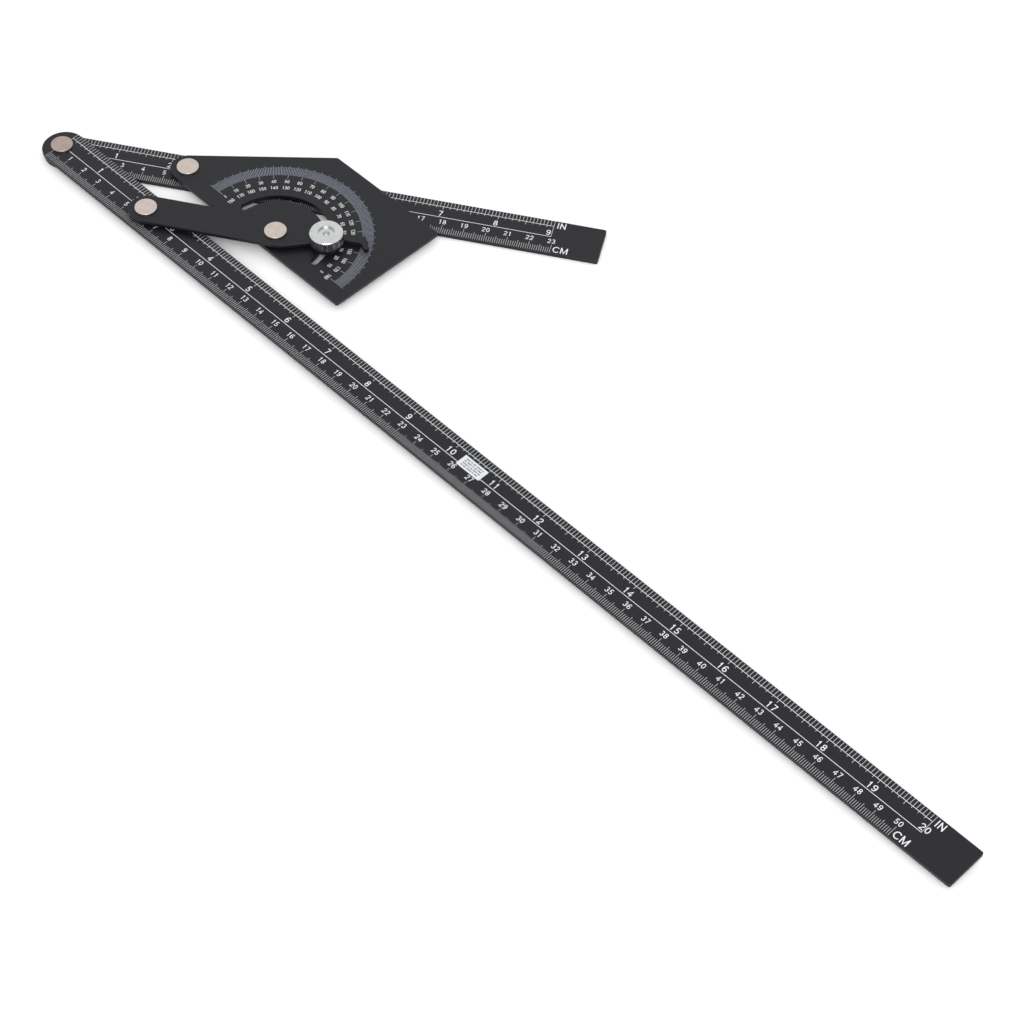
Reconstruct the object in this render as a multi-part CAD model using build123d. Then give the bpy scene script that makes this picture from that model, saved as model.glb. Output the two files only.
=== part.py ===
from build123d import *
import math
import os

# A folding angle rule: two graduated arms on one rivet, held at an angle by a protractor plate and a
# link that form a rhombus with them. The plate stays parallel to the long arm, the link stays parallel
# to the short arm, and the link's end points at the angle on the plate's scale.
#
# Frame: millimetres. The origin is on the apex rivet's axis, level with the short arm's underside.
# +X runs along the long arm from the apex, +Y is towards the short arm, +Z is up.

# ---- Driving dimensions --------------------------------------------------------------------------
SHEET = 2.0  # thickness of the arms, the plate and the link
GAP = 1.0  # space between two sheets, where a friction washer sits
RUN = 0.05  # running clearance of everything that turns
REST_ANGLE = 32.0  # degrees between the arms as stored
LINK_SIDE = 60.0  # rivet to rivet, on all four sides of the rhombus
EDGE_BREAK = 0.2  # bevel on the sheets' outer edges

RULE_WIDTH = 20.0
LONG_REACH = 530.0  # apex rivet to the long arm's square end
SHORT_REACH = 252.0  # the same on the short arm
END_CENTRE = 1.5  # centre of an arm's round end, past the apex rivet
CORNER_RADIUS = 1.0

PLATE_BELOW = 8.0  # plate's edges, from the centre rivet
PLATE_RIGHT = 48.7
PLATE_ABOVE = 53.0
PLATE_SLOPE_START = -17.6  # where the top edge turns down to the plate rivet
PLATE_END_RADIUS = 8.0  # round end about the plate rivet
SLOT_RADIUS = 23.5  # centre line of the arc slot, about the centre rivet
SLOT_WIDTH = 3.5
SLOT_FIRST, SLOT_LAST = 4.5, 175.5  # degrees, at the slot's end centres

LINK_WIDTH = 16.0
EYE_RADIUS = 7.0  # link's eye about the lock bolt
TAPER_START = 5.0  # where the lower edge turns in, past the centre rivet
TAPER_ANGLE = 22.0
SHOULDER = 19.5  # where the upper edge ends
NECK_LOW, NECK_HIGH = 2.0, 5.4  # pointer's neck, measured from the line through the rivets
POINTER_TIP_RADIUS = 1.1

RIVET_HEAD_RADIUS = 5.05
RIVET_HEAD_HEIGHT = 1.0
RIVET_SHANK_RADIUS = 2.45
RIVET_TAIL_RADIUS = 3.8
TAIL_DEPTH = 0.9  # the tail is spread into a countersink, flush with the face
OPEN_PIVOT_PLAY = 0.3  # radial play of the link on the centre rivet
WASHER_RADIUS = 6.0

BOLT_RADIUS = 1.45
BOLT_NECK = 3.0  # side of the square neck that slides in the slot
BOLT_HEAD_RADIUS = 4.0
BOLT_HEAD_HEIGHT = 1.6
BOLT_TIP_BELOW_NUT = 0.5
NUT_RADIUS = 7.6
NUT_HEIGHT = 5.3
NUT_TEETH = 56
KNURL_DEPTH = 0.28
NUT_BEVEL = 0.5
NUT_RECESS_RADIUS = 3.8
NUT_RECESS_DEPTH = 1.0

LABEL_LENGTH, LABEL_WIDTH, LABEL_HEIGHT = 13.3, 6.1, 0.08
LABEL_CENTRE = (266.4, 1.95)

# ---- Places worked out from them -----------------------------------------------------------------
LEVEL = SHEET + GAP
TURN = math.radians(REST_ANGLE)
APEX = Vector(0, 0)
LINK_PIVOT = Vector(LINK_SIDE, 0)
PLATE_PIVOT = Vector(LINK_SIDE * math.cos(TURN), LINK_SIDE * math.sin(TURN))
CENTRE_PIVOT = PLATE_PIVOT + LINK_PIVOT
ALONG_SHORT = Vector(math.cos(TURN), math.sin(TURN))
BOLT_AXIS = CENTRE_PIVOT + ALONG_SHORT * SLOT_RADIUS
NUT_BASE = 2 * LEVEL + SHEET + RUN


def sheet_bottom(level):
    return level * LEVEL


def sheet_top(level):
    return level * LEVEL + SHEET


def at(point, height=0.0, turned=0.0):
    """Place something at a point of the drawing plane, turned about the vertical."""
    return Pos(point.X, point.Y, height) * Rot(0, 0, turned)


def disc(x, y, radius):
    return Pos(x, y) * Circle(radius)


def sheet(outline, level):
    """A flat sheet of an outline, lying on its level, with its outer edges broken."""
    solid = Pos(0, 0, sheet_bottom(level)) * extrude(outline, SHEET)
    flat_faces = solid.faces().filter_by(Axis.Z)
    rims = [edge for face in flat_faces for edge in face.outer_wire().edges()]
    return chamfer(rims, EDGE_BREAK)


def bore(point, radius, level):
    """The cutter for a round hole through one level."""
    return at(point, sheet_bottom(level) + SHEET / 2) * Cylinder(radius, SHEET + 2)


def tail_seat(point, level, play=0.0):
    """The cutter for a rivet hole and the countersink on its underside."""
    seat = Cone(RIVET_TAIL_RADIUS + play, RIVET_SHANK_RADIUS + play, TAIL_DEPTH)
    countersink = at(point, sheet_bottom(level) + TAIL_DEPTH / 2) * seat
    return bore(point, RIVET_SHANK_RADIUS + play, level) + countersink


# ---- Sheets --------------------------------------------------------------------------------------
def rule_outline(reach):
    """A rule along +X: half-round end just past the pivot, square end with small corners."""
    straight = reach - END_CENTRE
    blade = Pos(END_CENTRE + straight / 2, 0) * Rectangle(straight, RULE_WIDTH)
    square_end = blade.vertices().sort_by(Axis.X)[-2:]
    return fillet(square_end, CORNER_RADIUS) + disc(END_CENTRE, 0, RULE_WIDTH / 2)


def make_long_arm():
    blade = sheet(rule_outline(LONG_REACH), 1)
    return blade - bore(APEX, RIVET_SHANK_RADIUS, 1) - tail_seat(LINK_PIVOT, 1)


def make_short_arm():
    blade = sheet(rule_outline(SHORT_REACH), 0)
    blade = at(APEX, 0, REST_ANGLE) * blade
    return blade - tail_seat(APEX, 0, RUN) - tail_seat(PLATE_PIVOT, 0)


def plate_outline():
    """Convex outline about the centre rivet: a round end, a slope and three near-square corners."""
    left, right = PLATE_SLOPE_START + CORNER_RADIUS / 2, PLATE_RIGHT - CORNER_RADIUS
    low, high = CORNER_RADIUS - PLATE_BELOW, PLATE_ABOVE - CORNER_RADIUS
    corners = [disc(right, low, CORNER_RADIUS), disc(right, high, CORNER_RADIUS)]
    corners.append(disc(left, high, CORNER_RADIUS))
    corners.append(disc(-LINK_SIDE, 0, PLATE_END_RADIUS))
    return make_hull([edge for corner in corners for edge in corner.edges()])


def make_protractor_plate():
    slot_line = CenterArc((0, 0), SLOT_RADIUS, SLOT_FIRST, SLOT_LAST - SLOT_FIRST)
    plate = sheet(plate_outline(), 1)
    plate -= Pos(0, 0, sheet_bottom(1) - 1) * extrude(SlotArc(slot_line, SLOT_WIDTH), SHEET + 2)
    plate = at(CENTRE_PIVOT) * plate
    return plate - bore(PLATE_PIVOT, RIVET_SHANK_RADIUS + RUN, 1) - tail_seat(CENTRE_PIVOT, 1)


def link_blade():
    """The wide part of the link, along +X with the centre rivet at the origin."""
    half = LINK_WIDTH / 2
    taper_end = SLOT_RADIUS - half
    taper_drop = (taper_end - TAPER_START) * math.tan(math.radians(TAPER_ANGLE))
    bar = Polygon(
        (-LINK_SIDE, half), (-LINK_SIDE, -half), (TAPER_START, -half),
        (taper_end, taper_drop - half), (SLOT_RADIUS, 0), (SHOULDER, half), align=None,
    )
    heel = bar.vertices().sort_by(lambda v: abs(v.X - TAPER_START))[0]
    return fillet(heel, 3.0) + disc(-LINK_SIDE, 0, half)


def link_pointer():
    """The link's narrow end: the eye about the lock bolt, the neck and the flag that points."""
    top = NECK_HIGH + 0.8
    toe = (41.0, -1.0)
    blade_low = (42.4, 0.6)
    blade_top = (39.4, top)
    with BuildSketch() as flag:
        with BuildLine():
            Polyline(
                toe, (38.5, NECK_LOW), (SLOT_RADIUS, NECK_LOW), (SLOT_RADIUS, NECK_HIGH),
                (36.4, NECK_HIGH), (37.2, top), blade_top,
            )
            ThreePointArc(blade_top, (41.2, 3.6), blade_low)
            RadiusArc(blade_low, toe, POINTER_TIP_RADIUS)
        make_face()
    return disc(SLOT_RADIUS, 0, EYE_RADIUS) + flag.sketch


def make_link_bar():
    pointer = Pos(0, 0, sheet_bottom(2)) * extrude(link_pointer(), SHEET)
    bar = at(CENTRE_PIVOT, 0, REST_ANGLE) * (sheet(link_blade(), 2) + pointer)
    bar -= bore(LINK_PIVOT, RIVET_SHANK_RADIUS + RUN, 2)
    bar -= bore(CENTRE_PIVOT, RIVET_SHANK_RADIUS + OPEN_PIVOT_PLAY, 2)
    return bar - bore(BOLT_AXIS, BOLT_RADIUS, 2)


# ---- Rivets and washers --------------------------------------------------------------------------
def make_rivet(point, lower_level, head_play=RUN):
    """A flat-headed rivet through two levels, its tail spread into the lower sheet."""
    foot = sheet_bottom(lower_level)
    throat = foot + TAIL_DEPTH
    head = sheet_top(lower_level + 1) + head_play
    crown = head + RIVET_HEAD_HEIGHT
    rim_radius = 0.4
    with BuildSketch(Plane.XZ) as half:
        with BuildLine():
            Polyline(
                (0, foot), (RIVET_TAIL_RADIUS, foot), (RIVET_SHANK_RADIUS, throat),
                (RIVET_SHANK_RADIUS, head), (RIVET_HEAD_RADIUS, head),
                (RIVET_HEAD_RADIUS, crown - rim_radius),
            )
            RadiusArc(
                (RIVET_HEAD_RADIUS, crown - rim_radius),
                (RIVET_HEAD_RADIUS - rim_radius, crown), -rim_radius,
            )
            Polyline((RIVET_HEAD_RADIUS - rim_radius, crown), (0, crown), (0, foot))
        make_face()
    return at(point) * revolve(half.sketch, Axis.Z)


def ring(point, base, height, outer, inner):
    return at(point, base + height / 2) * (Cylinder(outer, height) - Cylinder(inner, height + 1))


def make_friction_washer(point, lower_level, bore_radius, lift=0.0):
    """The washer in the gap above a level. It lies on the lower sheet, or is lifted to the upper one."""
    return ring(point, sheet_top(lower_level) + lift, GAP - RUN, WASHER_RADIUS, bore_radius)


# ---- Lock ----------------------------------------------------------------------------------------
def make_lock_bolt():
    """Low head under the plate, square neck in the slot, plain shank up through link and nut."""
    head_top = sheet_bottom(1) - 3 * RUN
    neck_top = sheet_top(1) - RUN
    tip = NUT_BASE + NUT_HEIGHT - BOLT_TIP_BELOW_NUT
    head = Pos(0, 0, head_top - BOLT_HEAD_HEIGHT / 2) * Cylinder(BOLT_HEAD_RADIUS, BOLT_HEAD_HEIGHT)
    head = fillet(head.faces().sort_by(Axis.Z)[0].edges(), BOLT_HEAD_HEIGHT / 2)
    neck = Pos(0, 0, (head_top + neck_top) / 2) * Box(BOLT_NECK, BOLT_NECK, neck_top - head_top)
    shank = Pos(0, 0, (neck_top + tip) / 2) * Cylinder(BOLT_RADIUS, tip - neck_top)
    shank = chamfer(shank.faces().sort_by(Axis.Z)[-1].edges(), 0.4)
    return at(BOLT_AXIS, 0, REST_ANGLE) * (head + neck + shank)


def make_thumb_nut():
    """A round nut with a straight knurl, bevelled rims and a recess about the bolt's end."""
    corners = []
    for tooth in range(2 * NUT_TEETH):
        angle = math.pi * tooth / NUT_TEETH
        radius = NUT_RADIUS - KNURL_DEPTH * (tooth % 2)
        corners.append((radius * math.cos(angle), radius * math.sin(angle)))
    knurled = extrude(Polygon(*corners, align=None), NUT_HEIGHT)
    barrel = Pos(0, 0, NUT_HEIGHT / 2) * Cylinder(NUT_RADIUS, NUT_HEIGHT)
    barrel = chamfer(barrel.edges().filter_by(GeomType.CIRCLE), NUT_BEVEL)
    nut = knurled & barrel
    nut -= Pos(0, 0, NUT_HEIGHT / 2) * Cylinder(BOLT_RADIUS + RUN, NUT_HEIGHT + 2)
    nut -= Pos(0, 0, NUT_HEIGHT - NUT_RECESS_DEPTH / 2) * Cylinder(NUT_RECESS_RADIUS, NUT_RECESS_DEPTH)
    return at(BOLT_AXIS, NUT_BASE) * nut


# ---- Label ---------------------------------------------------------------------------------------
def make_label():
    sticker = Box(LABEL_LENGTH, LABEL_WIDTH, LABEL_HEIGHT)
    return at(Vector(*LABEL_CENTRE), sheet_top(1) + LABEL_HEIGHT / 2) * sticker


# ---- All parts -----------------------------------------------------------------------------------
def make_parts():
    snug = RIVET_SHANK_RADIUS
    loose = RIVET_SHANK_RADIUS + RUN
    return {
        "long_arm": make_long_arm(),
        "short_arm": make_short_arm(),
        "protractor_plate": make_protractor_plate(),
        "link_bar": make_link_bar(),
        "apex_rivet": make_rivet(APEX, 0, head_play=0.0),
        "plate_rivet": make_rivet(PLATE_PIVOT, 0),
        "link_rivet": make_rivet(LINK_PIVOT, 1),
        "centre_rivet": make_rivet(CENTRE_PIVOT, 1),
        "apex_washer": make_friction_washer(APEX, 0, loose),
        "plate_washer": make_friction_washer(PLATE_PIVOT, 0, snug),
        "link_washer": make_friction_washer(LINK_PIVOT, 1, snug),
        "centre_washer": make_friction_washer(CENTRE_PIVOT, 1, snug),
        "lock_bolt": make_lock_bolt(),
        "lock_washer": make_friction_washer(BOLT_AXIS, 1, BOLT_RADIUS, lift=RUN),
        "thumb_nut": make_thumb_nut(),
        "label": make_label(),
    }


os.makedirs("parts", exist_ok=True)
for name, shape in make_parts().items():
    export_step(shape, f"parts/{name}.step")
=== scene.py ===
"""Looks of the folding angle rule: materials, printed scales, label, floor, light and camera.

The scene is in metres, in the CAD frame: the apex rivet at the origin, +X along the long arm,
+Y towards the short arm, +Z up. The printing is drawn in millimetres and scaled when it is placed.
"""

import math

import bpy
from mathutils import Matrix, Vector


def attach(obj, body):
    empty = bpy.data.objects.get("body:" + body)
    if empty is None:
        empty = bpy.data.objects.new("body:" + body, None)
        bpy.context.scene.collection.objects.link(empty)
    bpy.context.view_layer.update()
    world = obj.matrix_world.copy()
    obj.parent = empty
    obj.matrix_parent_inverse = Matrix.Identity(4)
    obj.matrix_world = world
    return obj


MM = 0.001
INCH = 25.4

# ---- Where the printed faces are, in millimetres and degrees -------------------------------------
REST_ANGLE = 32.0  # between the arms
LINK_SIDE = 60.0  # rivet to rivet
SHORT_TOP = 2.0  # height of the short arm's face
LONG_TOP = 5.0  # height of the long arm's and the plate's faces
LABEL_TOP = LONG_TOP + 0.08
TURN = math.radians(REST_ANGLE)
SCALE_CENTRE = (LINK_SIDE * (1 + math.cos(TURN)), LINK_SIDE * math.sin(TURN))

INK_LIFT = 0.012  # how far the ink stands above its face
LAYER = 0.002  # height between two layers of ink
TICKS, LINES, TEXT = 0, 1, 2  # layers; a character's strokes take one each, from TEXT up
STROKE = 0.12  # width of the characters' strokes, as a share of their height

# Rule scales: x from the apex rivet, y from the arm's centre line.
TICK_OUTER = 9.8  # outer end of every tick
INCH_TICK_WIDTH = 0.21
HALF_INCH_INNER, EIGHTH_INNER, SIXTEENTH_INNER = 4.75, 5.5, 6.5
INCH_NUMBER_HEIGHT, INCH_NUMBER_BASE, INCH_NUMBER_SHIFT = 3.15, 0.7, -0.4
MM_TICK_WIDTH = 0.17
TEN_MM_INNER, FIVE_MM_INNER, ONE_MM_INNER = 4.85, 5.65, 6.6
CM_NUMBER_HEIGHT, CM_NUMBER_BASE, CM_NUMBER_SHIFT = 2.6, -4.07, -0.5
CENTRE_LINE_START = 5.6
CENTRE_LINE_WIDTH = 0.24

# Degree scale: radii about the centre rivet.
DEGREE_TICK_WIDTH = 0.18
DEGREE_INNER, DEGREE_OUTER = 38.3, 43.4
TEN_DEGREE_INNER, FIVE_DEGREE_OUTER = 36.0, 44.2
FALLING_NUMBERS, RISING_NUMBERS = 33.25, 29.3
DEGREE_NUMBER_HEIGHT = 1.9

# Label: rows of bars, each as a list of their lengths.
LABEL_BARS = [
    (2.2, 0.9, 1.6, 2.8, 0.7),
    (1.2, 2.4, 0.8, 1.5, 2.0),
    (2.9, 0.7, 1.1, 2.2, 1.3),
    (0.9, 1.8, 2.6, 0.8, 1.7),
]
LABEL_FIRST_BAR = (261.4, 3.75)
LABEL_ROW_PITCH = 1.2
BAR_WIDTH, BAR_SPACE = 0.6, 0.45

# ---- Camera, light and floor, in metres ----------------------------------------------------------
CAMERA_AT = (0.75506, -0.47072, 0.84052)
CAMERA_AIM = (0.29375, -0.00200, 0.004)
CAMERA_ROLL = 0.977  # degrees
CAMERA_LENS, CAMERA_SENSOR = 91.89, 36.0  # millimetres
LIGHT_AT, LIGHT_AIM = (0.97, -0.69, 1.10), (0.25, 0.03, 0)
LIGHT_SIZE, LIGHT_POWER = 1.1, 9.0
WORLD_STRENGTH = 1.15
FLOOR_HALF = 6.0
FLOOR_DROP = 0.0002  # under the short arm, so that the two faces don't share a plane

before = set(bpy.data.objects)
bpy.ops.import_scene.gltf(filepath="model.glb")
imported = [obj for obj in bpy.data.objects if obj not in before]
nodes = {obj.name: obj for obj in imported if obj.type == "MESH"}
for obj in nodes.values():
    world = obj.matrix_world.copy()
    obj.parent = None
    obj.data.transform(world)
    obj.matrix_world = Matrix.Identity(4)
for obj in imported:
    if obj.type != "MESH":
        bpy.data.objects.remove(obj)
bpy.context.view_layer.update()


# ---- Shader building -----------------------------------------------------------------------------
def new_material(name):
    """A new material, its node tree and its Principled shader."""
    made = bpy.data.materials.new(name)
    made.use_nodes = True
    tree = made.node_tree
    return made, tree, tree.nodes["Principled BSDF"]


def add_node(tree, kind, **values):
    """A shader node. Values named after input sockets are set on them, with _ for a space."""
    node = tree.nodes.new(kind)
    for key, value in values.items():
        socket = key.replace("_", " ")
        if socket in node.inputs:
            node.inputs[socket].default_value = value
        else:
            setattr(node, key, value)
    return node


def object_space(tree, scale=(1, 1, 1), turn=0.0):
    """Object coordinates, stretched and turned about the vertical, so a grain follows a part."""
    coordinates = add_node(tree, "ShaderNodeTexCoord")
    unturn = add_node(tree, "ShaderNodeMapping")
    unturn.inputs["Rotation"].default_value = (0, 0, -turn)
    stretch = add_node(tree, "ShaderNodeMapping")
    stretch.inputs["Scale"].default_value = scale
    tree.links.new(coordinates.outputs["Object"], unturn.inputs["Vector"])
    tree.links.new(unturn.outputs["Vector"], stretch.inputs["Vector"])
    return stretch.outputs["Vector"]


def noise(tree, vector, scale, detail=3.0, roughness=0.55):
    """Noise from 0 to 1, mostly about its middle."""
    made = add_node(tree, "ShaderNodeTexNoise", Scale=scale, Detail=detail, Roughness=roughness)
    tree.links.new(vector, made.inputs["Vector"])
    return made.outputs["Fac"]


def ranged(tree, value, low_out, high_out, low_in=0.3, high_in=0.7):
    """A value carried from one range to another. The usual input range is a noise's."""
    made = add_node(tree, "ShaderNodeMapRange")
    made.inputs["From Min"].default_value = low_in
    made.inputs["From Max"].default_value = high_in
    made.inputs["To Min"].default_value = low_out
    made.inputs["To Max"].default_value = high_out
    tree.links.new(value, made.inputs["Value"])
    return made.outputs["Result"]


def mixed(tree, factor, first, second):
    """A colour between two constants."""
    made = add_node(tree, "ShaderNodeMix", data_type="RGBA")
    inputs = {socket.identifier: socket for socket in made.inputs}
    inputs["A_Color"].default_value = (*first, 1)
    inputs["B_Color"].default_value = (*second, 1)
    tree.links.new(factor, inputs["Factor_Float"])
    return next(socket for socket in made.outputs if socket.identifier == "Result_Color")


def bumped(tree, shader, height, strength, distance):
    """Small relief on a shader, from a height and a distance in metres."""
    made = add_node(tree, "ShaderNodeBump", Strength=strength, Distance=distance)
    tree.links.new(height, made.inputs["Height"])
    tree.links.new(made.outputs["Normal"], shader.inputs["Normal"])


# ---- Materials -----------------------------------------------------------------------------------
def anodised(name, turn):
    """Satin black sheet: a rolled grain along the part, a fine etched bump and handling marks."""
    made, tree, shader = new_material(name)
    grain = noise(tree, object_space(tree, (60, 2600, 900), turn), 1.0, 4.0)
    etch = noise(tree, object_space(tree), 5200.0, 2.0)
    handling = noise(tree, object_space(tree), 26.0, 5.0, 0.6)
    colours = (0.0038, 0.0042, 0.0068), (0.0066, 0.0071, 0.0108)
    tint = mixed(tree, ranged(tree, grain, 0, 1), *colours)
    tree.links.new(tint, shader.inputs["Base Color"])
    rough = add_node(tree, "ShaderNodeMath", operation="ADD")
    tree.links.new(ranged(tree, handling, 0.36, 0.46), rough.inputs[0])
    tree.links.new(ranged(tree, etch, -0.03, 0.03), rough.inputs[1])
    tree.links.new(rough.outputs[0], shader.inputs["Roughness"])
    shader.inputs["Specular IOR Level"].default_value = 0.27
    bumped(tree, shader, etch, 0.25, 0.00002)
    return made


def plated(name, colour, worn_colour, roughness, grain_scale, bump):
    """Plated steel: cloudy tint, uneven gloss and a fine turned or tumbled grain."""
    made, tree, shader = new_material(name)
    cloud = noise(tree, object_space(tree), 420.0, 4.0)
    grain = noise(tree, object_space(tree, grain_scale), 1.0, 3.0)
    tint = mixed(tree, ranged(tree, cloud, 0, 1), colour, worn_colour)
    tree.links.new(tint, shader.inputs["Base Color"])
    gloss = ranged(tree, grain, roughness - 0.05, roughness + 0.07)
    tree.links.new(gloss, shader.inputs["Roughness"])
    shader.inputs["Metallic"].default_value = 1.0
    bumped(tree, shader, grain, bump, 0.00002)
    return made


def plastic(name, colour, worn_colour, roughness):
    """Plain plastic or coated paper: a mottled tint, uneven gloss and a soft bump."""
    made, tree, shader = new_material(name)
    mottle = noise(tree, object_space(tree), 900.0, 4.0)
    tint = mixed(tree, ranged(tree, mottle, 0, 1), colour, worn_colour)
    tree.links.new(tint, shader.inputs["Base Color"])
    gloss = ranged(tree, mottle, roughness - 0.05, roughness + 0.08)
    tree.links.new(gloss, shader.inputs["Roughness"])
    bumped(tree, shader, mottle, 0.15, 0.00003)
    return made


def ink(name, colour, thin_colour):
    """Screen ink: slightly uneven cover over the black sheet, and a dry surface."""
    made, tree, shader = new_material(name)
    cover = noise(tree, object_space(tree), 1500.0, 4.0, 0.6)
    tint = mixed(tree, ranged(tree, cover, 0, 1, 0.25, 0.5), thin_colour, colour)
    tree.links.new(tint, shader.inputs["Base Color"])
    tree.links.new(ranged(tree, cover, 0.5, 0.65), shader.inputs["Roughness"])
    bumped(tree, shader, cover, 0.2, 0.00002)
    return made


black_along = anodised("black_anodised_along_x", 0.0)
black_turned = anodised("black_anodised_turned", TURN)
EVEN_GRAIN = (2600, 2600, 2600)
TURNED_GRAIN = (900, 900, 6000)
nickel = plated(
    "rivet_nickel", (0.57, 0.49, 0.45), (0.48, 0.415, 0.385), 0.26, EVEN_GRAIN, 0.3)
# A darker, slightly rougher copy of the same rivet nickel for the apex rivet: its darker colour is
# painted shade, not a different plating.
nickel_painted_shade = plated(
    "rivet_nickel_painted_shade", (0.40, 0.33, 0.295), (0.34, 0.28, 0.255), 0.32, EVEN_GRAIN, 0.3)
zinc = plated(
    "nut_zinc", (0.57, 0.58, 0.58), (0.49, 0.50, 0.505), 0.22, TURNED_GRAIN, 0.25)
steel = plated(
    "bolt_steel", (0.45, 0.45, 0.45), (0.36, 0.36, 0.36), 0.35, TURNED_GRAIN, 0.25)
nylon = plastic("washer_nylon", (0.02, 0.02, 0.022), (0.03, 0.03, 0.03), 0.5)
paper = plastic("label_white", (0.60, 0.63, 0.66), (0.53, 0.56, 0.59), 0.55)
text_ink = ink("text_ink", (0.70, 0.70, 0.71), (0.54, 0.54, 0.56))
tick_ink = ink("tick_ink", (0.46, 0.46, 0.48), (0.36, 0.36, 0.38))
ring_ink = ink("pale_blue_ink", (0.28, 0.30, 0.36), (0.21, 0.23, 0.28))
label_ink = ink("label_ink", (0.16, 0.17, 0.19), (0.26, 0.27, 0.29))

finishes = {
    "long_arm": black_along, "protractor_plate": black_along,
    "short_arm": black_turned, "link_bar": black_turned,
    # The apex rivet's darker nickel is painted shade.
    "apex_rivet": nickel_painted_shade,
    "plate_rivet": nickel, "link_rivet": nickel, "centre_rivet": nickel,
    "apex_washer": nylon, "plate_washer": nylon, "link_washer": nylon, "centre_washer": nylon,
    "lock_washer": nylon, "lock_bolt": steel, "thumb_nut": zinc, "label": paper,
}
for name, material in finishes.items():
    nodes[name].data.materials.clear()
    nodes[name].data.materials.append(material)


# ---- Characters ----------------------------------------------------------------------------------
def arc(across, up, wide, tall, start, end):
    """Points of an elliptic arc about a centre, from one angle to another, in degrees."""
    steps = max(3, int(abs(end - start) / 15))
    angles = [math.radians(start + (end - start) * i / steps) for i in range(steps + 1)]
    return [(across + wide * math.cos(t), up + tall * math.sin(t)) for t in angles]


# Centre lines of the strokes of plain rounded sans characters, one unit high, centred across.
STROKES = {
    "0": [arc(0, 0.5, 0.23, 0.43, 90, 450)],
    "1": [[(-0.15, 0.74), (0.04, 0.90)], [(0.04, 1.0), (0.04, 0.0)]],
    "2": [arc(0, 0.69, 0.23, 0.24, 172, -35) + [(-0.22, 0.07), (0.27, 0.07)]],
    "3": [arc(-0.01, 0.71, 0.20, 0.22, 155, -90), arc(-0.01, 0.28, 0.24, 0.21, 90, -160)],
    "4": [[(0.11, 0.0), (0.11, 0.88), (-0.27, 0.25)], [(-0.31, 0.27), (0.29, 0.27)]],
    "5": [
        [(0.22, 0.93), (-0.14, 0.93), (-0.19, 0.50)] + arc(-0.01, 0.31, 0.24, 0.25, 130, -155),
    ],
    "6": [arc(0, 0.31, 0.23, 0.24, 90, 450), arc(0.04, 0.46, 0.27, 0.47, 45, 190)],
    "7": [[(-0.25, 0.93), (0.24, 0.93), (-0.06, 0.0)]],
    "8": [arc(0, 0.71, 0.19, 0.21, 90, 450), arc(0, 0.28, 0.23, 0.21, 90, 450)],
    "9": [arc(0, 0.69, 0.23, 0.24, 90, 450), arc(-0.04, 0.54, 0.27, 0.47, 10, -135)],
    "I": [[(0, 0), (0, 1)]],
    "N": [[(-0.27, 0), (-0.27, 1)], [(-0.27, 0.93), (0.27, 0.07)], [(0.27, 0), (0.27, 1)]],
    "C": [arc(0, 0.5, 0.36, 0.43, 40, 320)],
    "M": [
        [(-0.35, 0), (-0.35, 1)],
        [(-0.33, 0.95), (0, 0.08), (0.33, 0.95)],
        [(0.35, 0), (0.35, 1)],
    ],
}


def ribbon(line, width):
    """Points and faces of a stroke of that width along a line, mitred at its bends."""
    count = len(line)
    closed = math.dist(line[0], line[-1]) < 1e-6
    points = []
    for i, (x, y) in enumerate(line):
        before = line[i - 1] if i else line[-2] if closed else None
        after = line[i + 1] if i < count - 1 else line[1] if closed else None
        runs = [Vector((x, y)) - Vector(before)] if before else []
        runs += [Vector(after) - Vector((x, y))] if after else []
        normals = [Vector((-run.y, run.x)).normalized() for run in runs]
        middle = sum(normals, Vector((0, 0))).normalized()
        reach = width / 2 / max(0.5, middle.dot(normals[0]))
        aside, upward = middle.x * reach, middle.y * reach
        points += [(x - aside, y - upward), (x + aside, y + upward)]
    faces = [(2 * i, 2 * i + 2, 2 * i + 3, 2 * i + 1) for i in range(count - 1)]
    return points, faces


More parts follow.
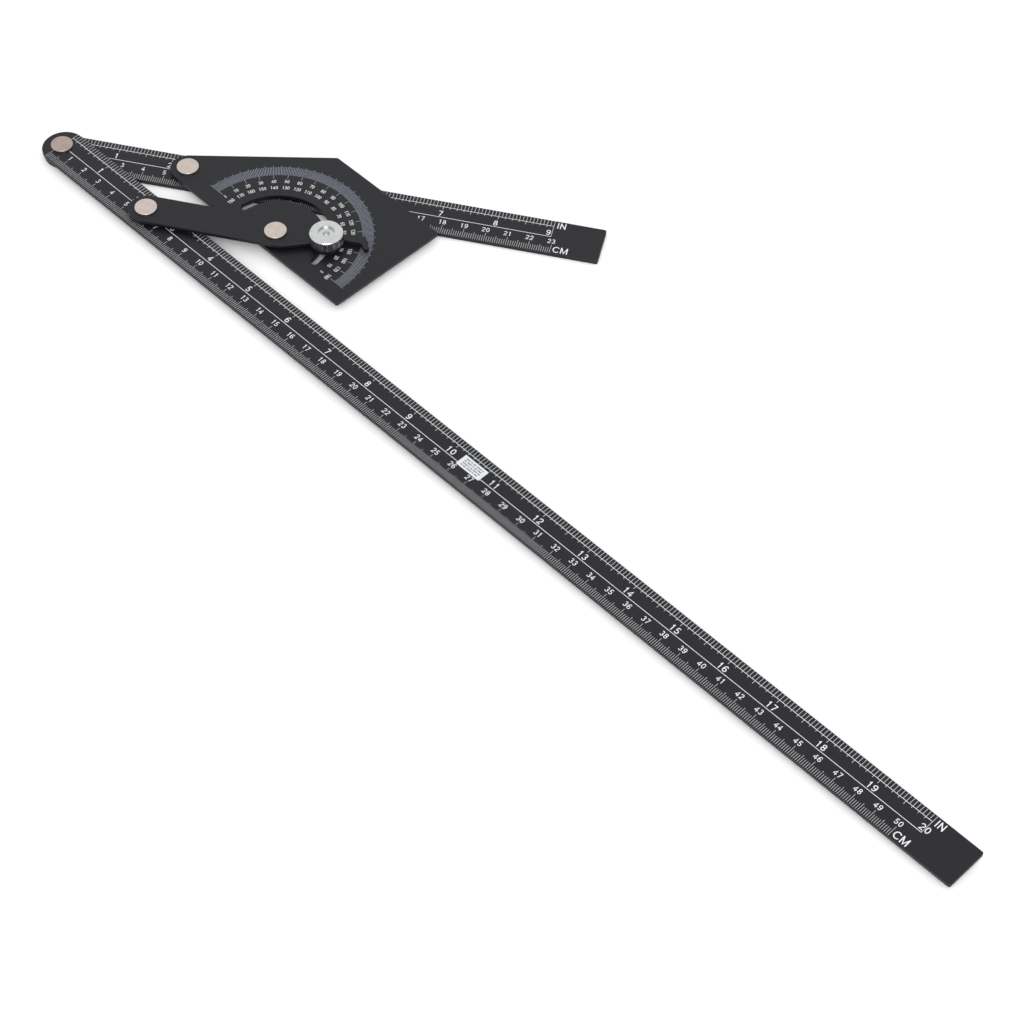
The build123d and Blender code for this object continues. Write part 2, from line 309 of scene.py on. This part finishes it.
# ---- Printing ------------------------------------------------------------------------------------
class Print:
    """Flat marks in millimetres on one face, gathered into one mesh. Long lines and text lie a hair
    above the ticks, so that crossing marks don't share a plane."""

    def __init__(self):
        self.points = []
        self.faces = []
        self.layers = []  # one for each face

    def add(self, points, faces, layer):
        """Marks given as points of the face's plane and as faces over them."""
        start = len(self.points)
        self.points.extend((x, y, layer * LAYER) for x, y in points)
        self.faces.extend(tuple(i + start for i in face) for face in faces)
        self.layers.extend([layer] * len(faces))

    def line(self, start, end, width, layer=TICKS):
        """A straight mark with square ends."""
        a, b = Vector(start), Vector(end)
        along = (b - a).normalized()
        side = Vector((-along.y, along.x)) * width / 2
        self.add([a - side, b - side, b + side, a + side], [(0, 1, 2, 3)], layer)

    def text(self, words, centre, height, turn=0.0, wide=1.0, pitch=0.8):
        """Characters on an even pitch, centred at a point of their base line and turned about it.
        Their width and pitch are shares of the height."""
        cosine, sine = math.cos(turn), math.sin(turn)
        for place, character in enumerate(words):
            shift = (place - (len(words) - 1) / 2) * pitch
            for layer, stroke in enumerate(STROKES[character], TEXT):
                points, faces = ribbon(stroke, STROKE)
                moved = []
                for x, y in points:
                    x, y = (x * wide + shift) * height, y * height
                    across, up = x * cosine - y * sine, x * sine + y * cosine
                    moved.append((centre[0] + across, centre[1] + up))
                self.add(moved, faces, layer)

    def piece(self, name, body, tick_ink, text_ink, top, turn=0.0, origin=(0.0, 0.0)):
        """The marks as one piece on a face of that height, riding on a CAD body. Ticks take the
        first ink, lines and text the second."""
        mesh = bpy.data.meshes.new(name)
        cosine, sine = math.cos(turn), math.sin(turn)
        placed = []
        for x, y, lift in self.points:
            across = origin[0] + x * cosine - y * sine
            up = origin[1] + x * sine + y * cosine
            placed.append((across * MM, up * MM, (top + INK_LIFT + lift) * MM))
        mesh.from_pydata(placed, [], self.faces)
        mesh.materials.append(tick_ink)
        mesh.materials.append(text_ink)
        inks = [0 if layer == TICKS else 1 for layer in self.layers]
        mesh.polygons.foreach_set("material_index", inks)
        made = bpy.data.objects.new(name, mesh)
        bpy.context.scene.collection.objects.link(made)
        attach(made, body)


def inch_scale(marks, inches, last_shift):
    """Inch scale along the +Y edge, in sixteenths. The last number may be shifted on its own."""
    end = inches * INCH
    for sixteenth in range(inches * 16):
        x = sixteenth * INCH / 16
        inner = SIXTEENTH_INNER
        if sixteenth % 8 == 0:
            inner = HALF_INCH_INNER
        elif sixteenth % 2 == 0:
            inner = EIGHTH_INNER
        marks.line((x, TICK_OUTER), (x, inner), INCH_TICK_WIDTH)
    for inch in range(1, inches + 1):
        shift = last_shift if inch == inches else INCH_NUMBER_SHIFT
        place = (inch * INCH + shift, INCH_NUMBER_BASE)
        marks.text(str(inch), place, INCH_NUMBER_HEIGHT, wide=1.05, pitch=0.82)
    marks.line((0, SIXTEENTH_INNER), (end, SIXTEENTH_INNER), INCH_TICK_WIDTH, LINES)
    marks.line((CENTRE_LINE_START, 0), (end, 0), CENTRE_LINE_WIDTH, LINES)
    marks.line((end, TICK_OUTER), (end, -CENTRE_LINE_WIDTH / 2), INCH_TICK_WIDTH)


def centimetre_scale(marks, centimetres):
    """Centimetre scale along the -Y edge, in millimetres."""
    for millimetre in range(centimetres * 10 + 1):
        inner = ONE_MM_INNER
        if millimetre % 10 == 0:
            inner = TEN_MM_INNER
        elif millimetre % 5 == 0:
            inner = FIVE_MM_INNER
        marks.line((millimetre, -TICK_OUTER), (millimetre, -inner), MM_TICK_WIDTH)
    for centimetre in range(1, centimetres + 1):
        place = (centimetre * 10 + CM_NUMBER_SHIFT, CM_NUMBER_BASE)
        marks.text(str(centimetre), place, CM_NUMBER_HEIGHT, pitch=0.75)


def rule_print(inches, centimetres, last_inch_shift):
    """Both scales of an arm, a line between them and the units past their ends."""
    marks = Print()
    inch_scale(marks, inches, last_inch_shift)
    centimetre_scale(marks, centimetres)
    marks.text("IN", (inches * INCH + 2.9, 5.55), 3.5, wide=1.05, pitch=0.64)
    marks.text("CM", (centimetres * 10 + 4.5, -9.2), 3.6, wide=1.08, pitch=0.97)
    return marks


def polar(radius, degrees):
    """The point at a radius and an angle from +X."""
    angle = math.radians(degrees)
    return (radius * math.cos(angle), radius * math.sin(angle))


def protractor_print():
    """Half ring of ticks, one to a degree, and two rings of numbers that run opposite ways."""
    marks = Print()
    for degree in range(181):
        inner = TEN_DEGREE_INNER if degree % 10 == 0 else DEGREE_INNER
        outer = FIVE_DEGREE_OUTER if degree % 5 == 0 else DEGREE_OUTER
        marks.line(polar(inner, degree), polar(outer, degree), DEGREE_TICK_WIDTH)
    for degree in range(0, 181, 10):
        turn = math.radians(degree - 90)
        for number, radius in ((180 - degree, FALLING_NUMBERS), (degree, RISING_NUMBERS)):
            wide = 0.9 if number else 0.6
            place = polar(radius, degree)
            marks.text(str(number), place, DEGREE_NUMBER_HEIGHT, turn, wide, 0.62)
    return marks


def label_print():
    """Rows of short bars in place of the label's small print."""
    marks = Print()
    for row, bars in enumerate(LABEL_BARS):
        x, y = LABEL_FIRST_BAR
        y -= row * LABEL_ROW_PITCH
        for bar in bars:
            marks.line((x, y), (x + bar, y), BAR_WIDTH)
            x += bar + BAR_SPACE
    return marks


rule_print(20, 50, 0.0).piece(
    "long_arm_print", "long_arm", tick_ink, text_ink, LONG_TOP)
rule_print(9, 23, -1.6).piece(
    "short_arm_print", "short_arm", tick_ink, text_ink, SHORT_TOP, TURN)
protractor_print().piece(
    "protractor_print", "protractor", ring_ink, text_ink, LONG_TOP, 0.0, SCALE_CENTRE)
label_print().piece(
    "label_print", "long_arm", label_ink, label_ink, LABEL_TOP)


# ---- Floor, light and camera ---------------------------------------------------------------------
def make_floor():
    """A wide matt white floor that glows a little, so that it renders as plain white."""
    made, tree, shader = new_material("studio_floor")
    mottle = noise(tree, object_space(tree), 40.0, 4.0)
    tint = mixed(tree, ranged(tree, mottle, 0, 1), (0.86, 0.86, 0.86), (0.88, 0.88, 0.88))
    tree.links.new(tint, shader.inputs["Base Color"])
    shader.inputs["Roughness"].default_value = 0.9
    shader.inputs["Specular IOR Level"].default_value = 0.1
    shader.inputs["Emission Color"].default_value = (1, 1, 1, 1)
    shader.inputs["Emission Strength"].default_value = 0.03
    mesh = bpy.data.meshes.new("floor")
    corners = [(x * FLOOR_HALF, y * FLOOR_HALF, 0) for x, y in ((-1, -1), (1, -1), (1, 1), (-1, 1))]
    mesh.from_pydata(corners, [], [(0, 1, 2, 3)])
    mesh.materials.append(made)
    floor = bpy.data.objects.new("floor", mesh)
    floor.location.z = -FLOOR_DROP
    bpy.context.scene.collection.objects.link(floor)


def make_light():
    """One soft round light on the camera's side, a little above it."""
    data = bpy.data.lights.new("key", "AREA")
    data.shape = "DISK"
    data.size = LIGHT_SIZE
    data.energy = LIGHT_POWER
    light = bpy.data.objects.new("key", data)
    light.location = LIGHT_AT
    towards = Vector(LIGHT_AIM) - Vector(LIGHT_AT)
    light.rotation_euler = towards.to_track_quat("-Z", "Y").to_euler()
    bpy.context.scene.collection.objects.link(light)


def make_world():
    """Even white surroundings, shown without a tone curve."""
    world = bpy.data.worlds.new("studio")
    world.use_nodes = True
    background = world.node_tree.nodes["Background"]
    background.inputs["Color"].default_value = (1.0, 1.0, 1.0, 1)
    background.inputs["Strength"].default_value = WORLD_STRENGTH
    bpy.context.scene.world = world
    bpy.context.scene.view_settings.view_transform = "Standard"


def make_camera():
    """The camera of the main view, with its small roll."""
    lens = bpy.data.cameras.new("camera")
    lens.lens = CAMERA_LENS
    lens.sensor_width = CAMERA_SENSOR
    lens.clip_start = 0.05
    lens.clip_end = 20.0
    camera = bpy.data.objects.new("camera", lens)
    towards = Vector(CAMERA_AIM) - Vector(CAMERA_AT)
    look = towards.to_track_quat("-Z", "Y").to_matrix().to_4x4()
    roll = Matrix.Rotation(math.radians(CAMERA_ROLL), 4, "Z")
    camera.matrix_world = Matrix.Translation(CAMERA_AT) @ look @ roll
    bpy.context.scene.collection.objects.link(camera)
    bpy.context.scene.camera = camera


make_floor()
make_light()
make_world()
make_camera()
